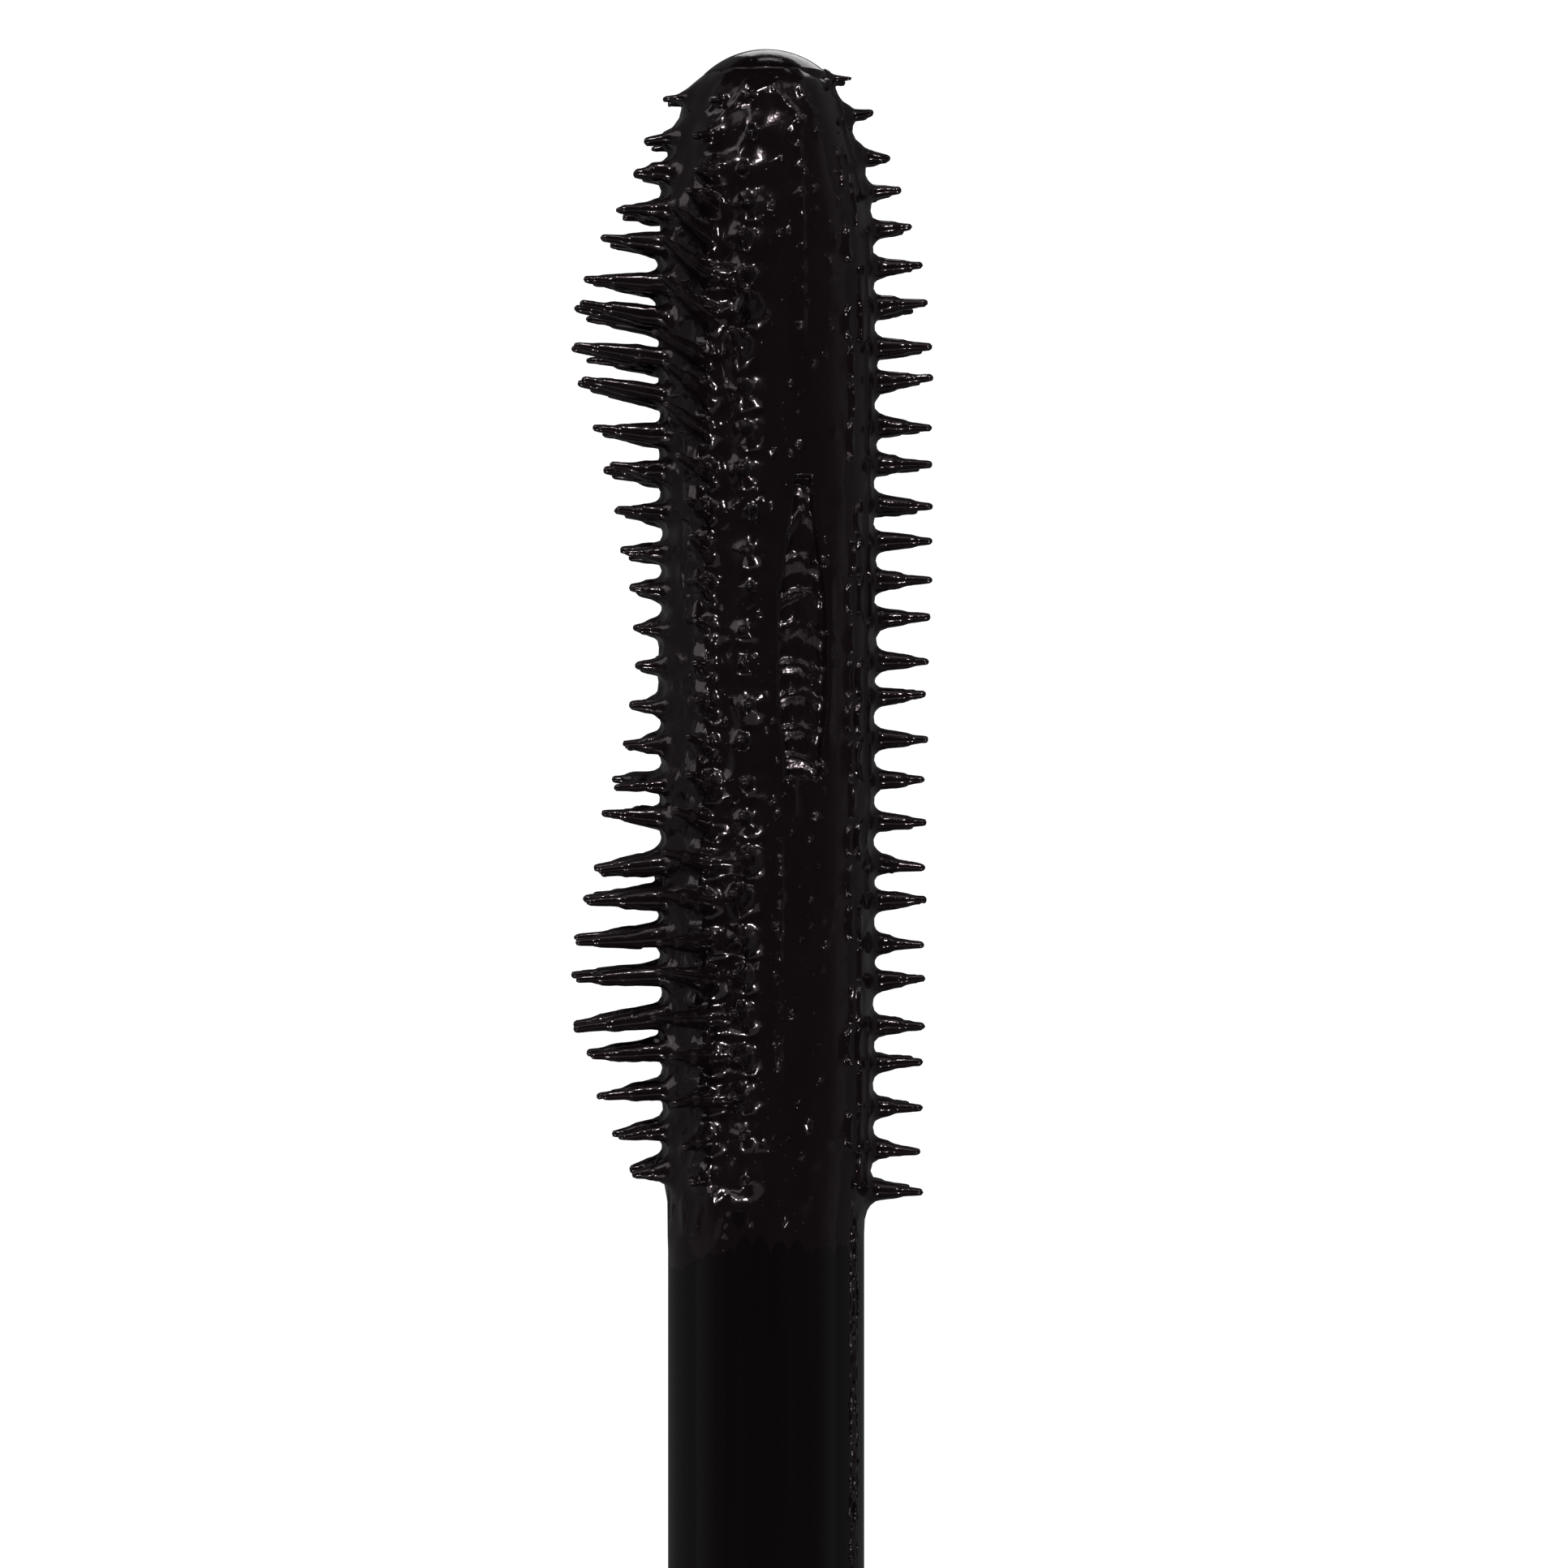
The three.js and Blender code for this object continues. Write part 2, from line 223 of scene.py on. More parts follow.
def stem_material():
    """Smooth dark plastic with faint drag lines along it."""
    look = Shader("stem_plastic", **{"IOR": 1.47})
    shade = look.noise((0.12, 3.0, 3.0), 4.0)
    look.colours(shade, (0.3, (0.0040, 0.0027, 0.0032)), (0.8, (0.0053, 0.0038, 0.0043)))
    look.rough(look.noise((0.15, 5.0, 5.0), 5.0), 0.12, 0.20)
    look.bumps(
        (look.noise((0.08, 7.0, 7.0), 4.0), 0.006, 0.4),
        (look.noise((6.0, 12.0, 12.0), 2.0), 0.002, 0.4),
    )
    return look.material


def gloss_material():
    """Lacquered black, very slightly uneven."""
    look = Shader("gloss_black", **{"IOR": 1.5, "Coat Weight": 1.0, "Coat Roughness": 0.03})
    shade = look.noise((0.2, 0.3, 0.3))
    look.colours(shade, (0.3, (0.006, 0.006, 0.007)), (0.8, (0.010, 0.010, 0.011)))
    look.rough(look.noise((0.8, 1.2, 1.2), 5.0), 0.16, 0.27)
    look.bumps((look.noise((0.5, 0.8, 0.8), 3.0), 0.004, 0.5))
    return look.material


def metal_material():
    """Gunmetal brushed round the axis."""
    look = Shader("gunmetal", **{"Metallic": 1.0})
    shade = look.noise((40.0, 0.4, 0.4), 3.0)
    look.colours(shade, (0.3, (0.22, 0.22, 0.24)), (0.8, (0.31, 0.31, 0.33)))
    look.rough(look.noise((60.0, 0.6, 0.6), 3.0), 0.16, 0.3)
    look.bumps((look.noise((50.0, 0.5, 0.5), 2.0), 0.004, 0.4))
    return look.material


def disc_material():
    """Metal turned on a lathe, with fine rings about the axis."""
    look = Shader("turned_disc", **{"Metallic": 1.0})
    apart = look.add("ShaderNodeSeparateXYZ")
    look.link(look.stretched((1, 1, 1)), apart.inputs[0])
    level = look.add("ShaderNodeMath", operation="SUBTRACT")
    level.inputs[1].default_value = AXIS_Z
    look.link(apart.outputs["Z"], level.inputs[0])
    flat = look.add("ShaderNodeCombineXYZ")
    look.link(apart.outputs["Y"], flat.inputs["Y"])
    look.link(level.outputs[0], flat.inputs["Z"])
    length = look.add("ShaderNodeVectorMath", operation="LENGTH")
    look.link(flat.outputs[0], length.inputs[0])
    rings = look.add("ShaderNodeTexNoise", noise_dimensions="1D", Detail=4.0)
    rings.inputs["Scale"].default_value = 9.0
    look.link(length.outputs["Value"], rings.inputs["W"])
    look.colours(rings.outputs["Fac"], (0.3, (0.22, 0.22, 0.24)), (0.8, (0.32, 0.32, 0.34)))
    look.rough(rings.outputs["Fac"], 0.16, 0.34)
    look.bumps((rings.outputs["Fac"], 0.01, 0.5))
    return look.material


def plain_material(name, dark, light, low, high, **values):
    """A moulded or cast surface: its two colours, and the ends of its roughness."""
    look = Shader(name, **values)
    look.colours(look.noise((0.6, 0.9, 0.9)), (0.3, dark), (0.8, light))
    look.rough(look.noise((1.5, 2.0, 2.0), 4.0), low, high)
    look.bumps((look.noise((4.0, 6.0, 6.0), 3.0), 0.006, 0.5))
    return look.material


# ---- the loaded brush, as a signed distance field ----


FLATNESS = 0.3  # openvdb's adaptivity: how readily flat stretches get larger faces
SOFT_LENGTH = 1.7  # millimetres of a bristle along which it melts into the coat less and less
FAR = 9.0  # millimetres: further than any point of the grid needs to tell
FIELD_LOW, FIELD_HIGH = (-2.2, -4.9, -4.8), (26.6, 4.3, 4.8)
PITCH, QUICK_PITCH = 0.05, 0.075


class Field:
    """Distances in millimetres to a growing shape, on an even grid.

    x runs along the brush from its foot, y towards the comb side and z up, from the axis.
    """

    def __init__(self, low, high, pitch):
        self.low, self.pitch = np.array(low, float), pitch
        self.count = np.ceil((np.array(high) - self.low) / pitch).astype(int) + 1
        self.axes = [
            (self.low[i] + pitch * np.arange(self.count[i])).astype(np.float32) for i in range(3)
        ]
        self.distance = np.full(self.count, FAR, np.float32)

    def part(self, low, high):
        """The slices and coordinates of the stretch between two corners."""
        first = np.clip(np.floor((low - self.low) / self.pitch).astype(int), 0, self.count)
        last = np.clip(np.ceil((high - self.low) / self.pitch).astype(int) + 1, 0, self.count)
        cut = tuple(slice(a, b) for a, b in zip(first, last))
        x, y, z = (axis[one] for axis, one in zip(self.axes, cut))
        return cut, x[:, None, None], y[None, :, None], z[None, None, :]

    def join(self, cut, distance, soft):
        """Smooth union with rounding about soft millimetres wide."""
        here = self.distance[cut]
        near = np.maximum(soft - np.abs(here - distance), 0) / soft
        self.distance[cut] = np.minimum(here, distance) - near * near * soft / 4

    def carve(self, cut, distance, soft):
        """Smooth subtraction."""
        here = self.distance[cut]
        near = np.maximum(soft - np.abs(here + distance), 0) / soft
        self.distance[cut] = np.maximum(here, -distance) + near * near * soft / 4

    def rod(self, start, end, start_r, end_r, soft, end_soft=None):
        """A round rod that tapers, melted into what is there by soft, less towards its end."""
        start, end = np.array(start, float), np.array(end, float)
        along = end - start
        margin = max(start_r, end_r) + soft + 2 * self.pitch
        cut, x, y, z = self.part(np.minimum(start, end) - margin, np.maximum(start, end) + margin)
        dx, dy, dz = x - start[0], y - start[1], z - start[2]
        t = (dx * along[0] + dy * along[1] + dz * along[2]) / max(float(along @ along), 1e-9)
        t = np.clip(t, 0, 1)
        dx, dy, dz = dx - t * along[0], dy - t * along[1], dz - t * along[2]
        distance = np.sqrt(dx * dx + dy * dy + dz * dz) - (start_r + (end_r - start_r) * t)
        if end_soft is not None:
            gone = t * float(np.linalg.norm(along)) / SOFT_LENGTH
            soft = end_soft + (soft - end_soft) * (1 - np.minimum(gone, 1)) ** 1.5
        self.join(cut, distance, soft)

    def path(self, points, radius, soft):
        """Rods of one radius from point to point."""
        for start, end in zip(points, points[1:]):
            self.rod(start, end, radius, radius, soft)

    def noise(self, size, seed):
        """Smooth noise from -1 to 1 with features size millimetres apart along each axis."""
        random = np.random.default_rng(seed)
        weights, shape = [], []
        for axis, step in zip(self.axes, size):
            steps = (axis - axis[0]) / step
            cell = np.floor(steps).astype(int)
            t = steps - cell
            knots = cell[-1] + 4
            matrix = np.zeros((len(axis), knots), np.float32)
            spline = ((1 - t) ** 3, 3 * t**3 - 6 * t**2 + 4, -3 * t**3 + 3 * t**2 + 3 * t + 1, t**3)
            for k, weight in enumerate(spline):
                matrix[np.arange(len(axis)), cell + k] = weight / 6
            weights.append(matrix)
            shape.append(knots)
        grid = random.uniform(-1, 1, shape).astype(np.float32)
        grid = np.tensordot(weights[0], grid, (1, 0))
        grid = np.einsum("jb,abc->ajc", weights[1], grid, optimize=True)
        grid = grid @ weights[2].T
        return grid / max(1e-6, float(np.abs(grid).max()))

    def slopes(self, points):
        """The unit slope of the distance at points given in grid steps."""
        low = np.clip(np.floor(points).astype(int), 1, self.count - 3)
        part = points - low
        slope = np.zeros_like(points)
        for corner in np.ndindex(2, 2, 2):
            at = low + corner
            weight = np.prod(np.where(corner, part, 1 - part), axis=1)
            for axis in range(3):
                side = np.eye(3, dtype=int)[axis]
                ahead, behind = tuple((at + side).T), tuple((at - side).T)
                slope[:, axis] += weight * (self.distance[ahead] - self.distance[behind])
        return slope / np.maximum(np.linalg.norm(slope, axis=1, keepdims=True), 1e-9)

    def mesh(self, name):
        """The surface where the distance is zero, in world metres, coarser where it is flat.

        Its shading normals come from the field, so the coarse faces look smooth.
        """
        band = 3 * self.pitch
        grid = openvdb.FloatGrid(band)
        grid.copyFromArray(np.clip(self.distance, -band, band))
        points, triangles, quads = grid.convertToPolygons(adaptivity=FLATNESS)
        points = np.asarray(points, float)
        slopes = self.slopes(points) * (1, -1, 1)
        points = self.low + self.pitch * points
        world = [place(STEM_END + x, y, z) for x, y, z in points]
        mesh = bpy.data.meshes.new(name)
        mesh.from_pydata(world, [], [f[::-1] for f in triangles.tolist() + quads.tolist()])
        mesh.update()
        mesh.shade_smooth()
        mesh.normals_split_custom_set_from_vertices(slopes.tolist())
        return mesh


def spoke(x, radius, degrees):
    """A point of the field from its place along the brush, its radius and its angle."""
    angle = math.radians(degrees)
    return np.array([x, radius * math.cos(angle), radius * math.sin(angle)])


def step(value, start, end):
    """0 before start, 1 after end, and smooth between."""
    t = np.clip((value - start) / (end - start), 0, 1)
    return t * t * (3 - 2 * t)


def smooth_through(points, x):
    """A smooth curve through (x, value) points, by cubic Hermite pieces, level beyond its ends."""
    x = np.clip(x, points[0][0], points[-1][0])
    xs, vs = np.array(points, float).T
    slopes = np.empty_like(xs)
    slopes[1:-1] = (vs[2:] - vs[:-2]) / (xs[2:] - xs[:-2])
    slopes[0] = (vs[1] - vs[0]) / (xs[1] - xs[0])
    slopes[-1] = (vs[-1] - vs[-2]) / (xs[-1] - xs[-2])
    i = np.clip(np.searchsorted(xs, x, side="right") - 1, 0, len(xs) - 2)
    span = xs[i + 1] - xs[i]
    t = (x - xs[i]) / span
    return (
        vs[i] * (1 + 2 * t) * (1 - t) ** 2
        + vs[i + 1] * t**2 * (3 - 2 * t)
        + slopes[i] * span * t * (1 - t) ** 2
        - slopes[i + 1] * span * t**2 * (1 - t)
    )


# How far the bristle tips stand from the axis, by place along the brush.
VOLUME_REACH = [
    (0.8, 3.1), (2.9, 3.98), (5.3, 4.54), (8.8, 3.75), (12.6, 3.02),
    (16.2, 3.65), (19.6, 4.48), (22.4, 3.55), (23.7, 3.03), (24.5, 2.79), (25.3, 2.42),
]
COMB_REACH = [
    (0.2, 3.57), (10, 3.7), (19.8, 3.82), (21.8, 3.5), (22.7, 3.24), (23.6, 2.94), (24.5, 2.68),
    (25.2, 2.28), (25.8, 1.96),
]

# Radius of the mascara on the core, by place along the brush.
COAT = [
    (-1.6, 2.225), (-1.1, 2.25), (0.2, 2.28), (3, 2.33), (20, 2.33), (22.6, 2.26), (23.5, 2.17),
    (24.3, 2.07), (25.0, 1.94), (25.4, 1.81), (25.7, 1.60), (25.8, 1.49), (25.88, 1.38),
    (25.96, 1.20),
]
COAT_FOOT, COAT_END = -1.5, 25.95  # where the mascara stops on the stem and on the dome

# (foot angle, turn of the tips from it, shift along the brush, spread of the lean in degrees)
VOLUME_ROWS = [
    (180, 0, 0.05, 2.2), (153, 13, 0.0, 2.0), (-152, -10, 0.0, 1.5), (126, -3, -0.15, 3.0),
    (-123, 0, 0.0, 3.0), (101, 0, -0.1, 5.0), (-101, 0, 0.0, 3.0),
]
COMB_ROWS = [(0, 0, 0.0, 3.2), (-28, 6, 0.0, 1.6)]
PER_ROW = 29
VOLUME_SPAN, COMB_SPAN = (0.87, 25.26), (0.3, 25.72)  # a row's first and last bristle
SLANTED_ROWS = (126, 101)  # they lean to the tip, and are seen between the long ones
STUB_ROW = 101  # short bristles beside the smooth band

# Mean lean of the long bristles towards the tip, in degrees, by place along the brush.
LEAN = [(0.8, -9), (6, -3), (12, 1), (18, 8), (21.5, 7), (23.2, -3), (25.4, -9)]

# Webs of mascara from row to row: the rows, how far out the webs may reach as a share of the
# bristle, their thickness, and the share of bristles that have them.
WEBS = [
    ((180, 153), 0.35, 0.75, 0.09, 0.9),
    ((180, -152), 0.35, 0.6, 0.08, 0.5),
    ((153, 126), 0.2, 0.4, 0.10, 0.8),
    ((-152, -123), 0.2, 0.4, 0.10, 0.8),
    ((126, 101), 0.2, 0.4, 0.09, 0.8),
]

# Drops: how many, and between which angles and which places along the brush.
BEADS = [(230, 30, 100, -0.9, 24.6), (60, 100, 170, -0.9, 24.0), (100, -95, 25, -0.9, 24.8)]


def coat_radius(x):
    return float(smooth_through(COAT, x))


def bristle_row(field, random, row, reach, leans):
    """One row of bristles. Returns each one's foot and tip, and each one's own lean.

    leans holds each bristle's own lean in the row that this one follows, or is None.
    """
    angle, turn, shift, spread = row
    long_row = reach is VOLUME_REACH
    first, last = VOLUME_SPAN if long_row else COMB_SPAN
    made, own = [], []
    for i in range(PER_ROW):
        x = first + (last - first) * i / (PER_ROW - 1) + shift
        foot_angle = angle + random.uniform(-2, 2)
        tip_angle = foot_angle + turn + random.uniform(-2.0, 2.0)
        own.append(random.normal(0, spread) + (leans[i] if leans else 0))
        lean = own[-1]
        if long_row:
            lean += float(smooth_through(LEAN, x))
            if angle in SLANTED_ROWS:
                lean += 12 * step(x, 0, 5) * (1 - step(x, 22, 24))
        else:
            x += 0.3 * math.sin(math.pi * i / (PER_ROW - 1))
            lean += 10 * step(x, 24.0, 25.2) * (1 - step(x, 25.3, 25.7))
        top = float(smooth_through(reach, x))
        top *= random.uniform(0.985, 1.01)
        if angle == STUB_ROW:
            top = 2.35 + (top - 2.35) * 0.4
        small = step(x, 23.5, 25.7)  # bristles grow thinner to the tip
        foot = spoke(x, 1.8 - 0.5 * small, foot_angle)
        tip = spoke(x + math.tan(math.radians(lean)) * (top - 2.0), top - 0.09, tip_angle)
        length = float(np.linalg.norm(tip - foot))
        held = 1 - random.uniform(0.35, 0.85) / length
        root_r = (0.33 if long_row else 0.34) * (1 - 0.35 * small)
        tip_r = random.uniform(0.085, 0.105) * (1 - 0.3 * small)
        end_r = root_r + (tip_r - root_r) * held + random.uniform(0.012, 0.03)
        field.rod(foot, foot + (tip - foot) * held, root_r, end_r, 0.65 - 0.35 * small, 0.04)
        field.rod(foot, tip, root_r - 0.08, tip_r, 0.04)
        made.append((foot, tip))
    return made, own


def fills(field, random, row, t, radius):
    """Mascara from bristle to bristle of a row, as a low saddle a share t of the way up."""
    for (foot_a, tip_a), (foot_b, tip_b) in zip(row, row[1:]):
        high = t * random.uniform(0.8, 1.2)
        a, b = foot_a + (tip_a - foot_a) * high, foot_b + (tip_b - foot_b) * high
        middle = (a + b) / 2 * np.array([1, 0.95, 0.95])
        field.path([a, middle, b], radius, 0.3)


PANE_X, PANE_STEP = 1.3, 0.871  # half way between two bristles, and on to the next two
PANE_ANGLE = 129
PANE_ROUND = 0.03  # radius of a film's edges


def panes(field, random):
    """Flat films of mascara between one long bristle and the next, tilted to the tip."""
    for i in range(2, PER_ROW - 3):
        x = PANE_X + PANE_STEP * i + random.uniform(-0.08, 0.08)
        degrees = PANE_ANGLE + random.uniform(-4, 6)
        centre = spoke(x, 2.36 + random.uniform(-0.02, 0.05), degrees)
        angle = math.radians(degrees)
        tilt = math.radians(random.uniform(8, 18))
        out = np.array([0, math.cos(angle), math.sin(angle)])
        along = np.array([math.cos(tilt), 0, 0]) - out * math.sin(tilt)
        up = out * math.cos(tilt) + np.array([math.sin(tilt), 0, 0])
        across = np.array([0, -math.sin(angle), math.cos(angle)])
        half = random.uniform(0.22, 0.32), random.uniform(0.16, 0.24), 0.10
        cut, px, py, pz = field.part(centre - 0.7, centre + 0.7)
        dx, dy, dz = px - centre[0], py - centre[1], pz - centre[2]
        far = []
        for axis, extent in zip((along, across, up), half):
            far.append(np.abs(dx * axis[0] + dy * axis[1] + dz * axis[2]) - extent)
        outside = np.sqrt(sum(np.maximum(f, 0) ** 2 for f in far))
        inside = np.minimum(np.maximum(np.maximum(far[0], far[1]), far[2]), 0)
        field.join(cut, (outside + inside - PANE_ROUND).astype(np.float32), 0.10)


def strips(field, random, row):
    """Thin curved edges of the film between the roots of the short bristles."""
    for (foot_a, _), (foot_b, _) in zip(row, row[1:]):
        for degrees in (18, 30, 38):
            if random.random() < 0.3:
                continue
            turn = random.uniform(-3, 3)
            dip = random.uniform(0.04, 0.12)
            points = []
            for t in np.linspace(0.08, 0.92, 7):
                x = foot_a[0] + (foot_b[0] - foot_a[0]) * t
                lift = coat_radius(x) + 0.06 - 0.3 * step(x, 21.5, 25.2)
                bow = 4 * t * (1 - t)
                points.append(spoke(x, lift + 0.12 - dip * bow, degrees - turn * bow))
            field.path(points, random.uniform(0.03, 0.055), 0.08)


def webs(field, random, rows, near, far, radius, chance):
    """Mascara bridging bristles of two rows that stand side by side."""
    for (foot_a, tip_a), (foot_b, tip_b) in zip(*rows):
        if random.random() > chance:
            continue
        reach = random.uniform(near, far)
        count = 2 + int(reach > 0.45)
        for k in range(count):
            t = 0.2 + (reach - 0.2) * k / (count - 1)
            a, b = foot_a + (tip_a - foot_a) * t, foot_b + (tip_b - foot_b) * t
            middle = (a + b) / 2 * np.array([1, 0.97, 0.97])
            field.path([a, middle, b], radius * (1.2 - 0.6 * t), 0.22)


def coat_core(field, random):
    """The mascara on the brush's core: thicker to the comb side, flattened on top, and draped
    over the domed tip, where its edge has a notch and a few folds."""
    cut, x, y, z = field.part(field.low, field.low + field.pitch * field.count)
    radius = smooth_through(COAT, x).astype(np.float32)
    across = np.sqrt(y * y + z * z)
    side = y / np.maximum(across, 0.1)
    swell = step(side, 0.5, 1.0) * (0.10 * step(x, -0.5, 2.0) - 0.3 * step(x, 21.5, 25.2))
    lying = step(x, -0.2, 1.8) * (1 - step(x, 23.0, 25.0))
    flat = 0.06 * step(z / np.maximum(across, 0.1), 0.75, 1.0) * lying
    angle = np.degrees(np.arctan2(z, y))
    edge = 25.66 - 0.34 * np.exp(-(((angle - 99) / 17) ** 2)) + 0.04 * np.sin(angle / 9)
    edge += 0.16 * np.exp(-(((angle - 122) / 6) ** 2))
    film = 0.055 * step(x - edge, -0.05, 0.05) * step(x, 24.8, 25.2)
    shell = across - radius - swell + flat + film
    ends = np.maximum(x - COAT_END, COAT_FOOT - x)
    outside = np.sqrt(np.maximum(shell, 0) ** 2 + np.maximum(ends, 0) ** 2)
    distance = outside + np.minimum(np.maximum(shell, ends), 0)
    field.join(cut, distance.astype(np.float32), 0.05)
    for degrees, bend in ((124, 10), (104, 16), (84, -14), (66, -10)):
        points = []
        for t in np.linspace(0, 1, 7):
            fold_x = 25.5 - 0.8 * t
            lift = coat_radius(fold_x) - 0.02
            points.append(spoke(fold_x, lift, degrees + bend * t * t + random.uniform(-1, 1)))
        field.path(points, 0.035, 0.1)


def ladder(field, random):
    """The worn window in the smooth band, with mascara left in it in overlapping scales."""
    low, high = 9.7, 16.5
    middle, half = 68.0, 15.0  # degrees
    band_r = 2.2
    cut, x, y, z = field.part(np.array([low - 1, -1.0, 1.0]), np.array([high + 1, 2.4, 2.9]))
    angle = np.degrees(np.arctan2(z, y))
    narrow = half * (1 - 0.65 * step(x, high - 3.4, high)) * (1 - 0.3 * (1 - step(x, low, low + 2)))
    u = (angle - middle) / narrow
    bottom = np.full(np.broadcast(x, y, z).shape, 2.11, np.float32)
    start = low
    while start < high - 0.4:
        period = random.uniform(0.6, 0.95)
        arch, slope = random.uniform(0.1, 0.32), random.uniform(-0.12, 0.22)
        t = (x - start + slope * u - arch * (1 - u * u)) / period
        scale = 2.08 + 0.085 * step(t, 0.0, 0.5) - 0.07 * step(t, 0.5, 0.62)
        bottom = np.where((t >= 0) & (t < 1.25), scale, bottom)
        start += period
    wall = (np.abs(u) - 1) * narrow * math.radians(1) * band_r
    ends = np.maximum(low - x, x - high)
    across = np.sqrt(y * y + z * z)
    window = np.maximum(np.maximum(wall, ends), bottom - across)
    field.carve(cut, window.astype(np.float32), 0.05)


def streaks(field, random):
    """Long low ridges that the wiper left along the smooth band."""
    for _ in range(6):
        angle = random.uniform(42, 84)
        x = random.uniform(0.5, 22)
        points = []
        for _ in range(random.integers(5, 12)):
            points.append(spoke(x, coat_radius(x) - 0.03, angle))
            x += random.uniform(0.4, 0.8)
            angle += random.uniform(-1.2, 1.2)
            if x > 25:
                break
        if len(points) > 1:
            field.path(points, random.uniform(0.015, 0.03), 0.12)


def beads(field, random, count, low_angle, high_angle, low_x, high_x):
    """Small drops standing on the mascara."""
    for _ in range(count):
        x, angle = random.uniform(low_x, high_x), random.uniform(low_angle, high_angle)
        size = 0.03 + 0.035 * random.random() ** 2
        centre = spoke(x, coat_radius(x) + 0.01, angle)
        field.rod(centre, centre + [0.02, 0, 0], size, size, 0.05)


def roughen(field):
    """Lumps, folds and drag marks: strong between the long bristles, faint on the band and stem."""
    _, x, y, z = field.part(field.low, field.low + field.pitch * field.count)
    across = np.sqrt(y * y + z * z)
    angle = np.abs(np.degrees(np.arctan2(z, y)))
    volume = step(angle, 93, 106)
    comb = 1 - step(angle, 16, 30)
    near_core = 1 - step(across, 2.6, 3.4)
    folds = 1 - np.abs(field.noise((0.55, 0.48, 0.48), SEED + 1))
    lumps = field.noise((0.9, 0.7, 0.7), SEED + 2)
    fine = field.noise((0.2, 0.17, 0.17), SEED + 3)
    drag = field.noise((2.2, 0.22, 0.22), SEED + 4)
    below_tip = 1 - step(x, 23.6, 24.8)
    height = volume * near_core * below_tip * (0.065 * folds**5 - 0.02 + 0.06 * lumps)
    height += comb * near_core * (0.03 * lumps + 0.04 * folds**4 - 0.015)
    height += (1 - volume) * (1 - comb) * near_core * (0.005 * drag + 0.014 * lumps)
    height += 0.003 * fine * (0.3 + 0.7 * volume)
    height += (1 - near_core) * 0.012 * lumps
    height *= 0.3 + 0.7 * step(x, -0.9, 0.5)
    field.distance -= height.astype(np.float32)


def drips(field, random):
    """Runs of mascara on the stem, behind the long bristles, down to where it thins out."""
    for angle in (168, 157, 146, 131, 112, -150, -120):
        length = random.uniform(0.5, 1.3)
        turn = random.uniform(-6, 10)
        points = [
            spoke(0.2 - length * t * 1.2, 2.27 - 0.03 * t, angle + turn * t * t)
            for t in np.linspace(0, 1, 5)
        ]
        field.path(points, 0.04, 0.08)


def residue():
    """A wavy bead of mascara that the wiper left along the comb side of the stem."""
    field = Field((-9.4, 1.2, 0.1), (0.6, 2.6, 2.1), 0.04)
    random = np.random.default_rng(SEED + 7)
    for degrees, thick in ((27, 0.055), (31, 0.035), (23, 0.03)):
        x, points = 0.3, []
        while x > -9.2:
            points.append((x, 2.255 + random.uniform(-0.03, 0.01), degrees + random.normal(0, 0.7)))
            x -= random.uniform(0.12, 0.4)
        for a, b in zip(points, points[1:]):
            sizes = thick * random.uniform(0.6, 1.3, 2)
            field.rod(spoke(*a), spoke(*b), sizes[0], sizes[1], 0.08)
    return field.mesh("stem_residue")


def loaded_brush():
    """Bristles, the mascara on them and the mascara on the core, as one wet surface."""
    field = Field(FIELD_LOW, FIELD_HIGH, PITCH)
    random = np.random.default_rng(SEED)
    coat_core(field, random)
    rows, leans = {}, {}
    for row in VOLUME_ROWS:
        follows = leans.get(180) if abs(row[0]) > 150 else None
        rows[row[0]], leans[row[0]] = bristle_row(field, random, row, VOLUME_REACH, follows)
    for row in COMB_ROWS:
        rows[row[0]], leans[row[0]] = bristle_row(field, random, row, COMB_REACH, leans.get(0))
    for (one, other), *shape in WEBS:
        webs(field, random, (rows[one], rows[other]), *shape)
    fills(field, random, rows[153], 0.14, 0.12)
    fills(field, random, rows[126], 0.16, 0.10)
    roughen(field)
    panes(field, random)
    strips(field, random, rows[0])
    ladder(field, random)
    streaks(field, random)
    for group in BEADS:
        beads(field, random, *group)
    drips(field, random)
    return field.mesh("loaded_bristles")


# ---- turned pieces ----


def outline_of(node):
    """The closed outline of a turned CAD node, as (radius, x) corners, read from its mesh."""
    mesh = frame["nodes"][node].data
    corner = {}
    for vertex in mesh.vertices:
        x, y, z = vertex.co / MM
        corner[vertex.index] = (round(math.hypot(y, z - AXIS_Z), 3), round(x, 3), y, z - AXIS_Z)
    outer = max(corner.values())
    heading = math.atan2(outer[3], outer[2])
    links = {}  # corners joined by the edges of one half section
    for edge in mesh.edges:
        ends = []
        for index in edge.vertices:
            r, x, y, z = corner[index]
            turn = (math.atan2(z, y) - heading + math.pi) % (2 * math.pi) - math.pi
            if r < CLOSE or abs(turn) < 1e-3:
                ends.append((r, x))
        if len(ends) == 2 and ends[0] != ends[1]:
            links.setdefault(ends[0], set()).add(ends[1])
            links.setdefault(ends[1], set()).add(ends[0])
    path = [min(links)]
    while True:
        here = path[-1]
        onward = [p for p in links[here] if p not in path and max(p[0], here[0]) >= CLOSE]
        if not onward:
            return path
        path.append(onward[0])


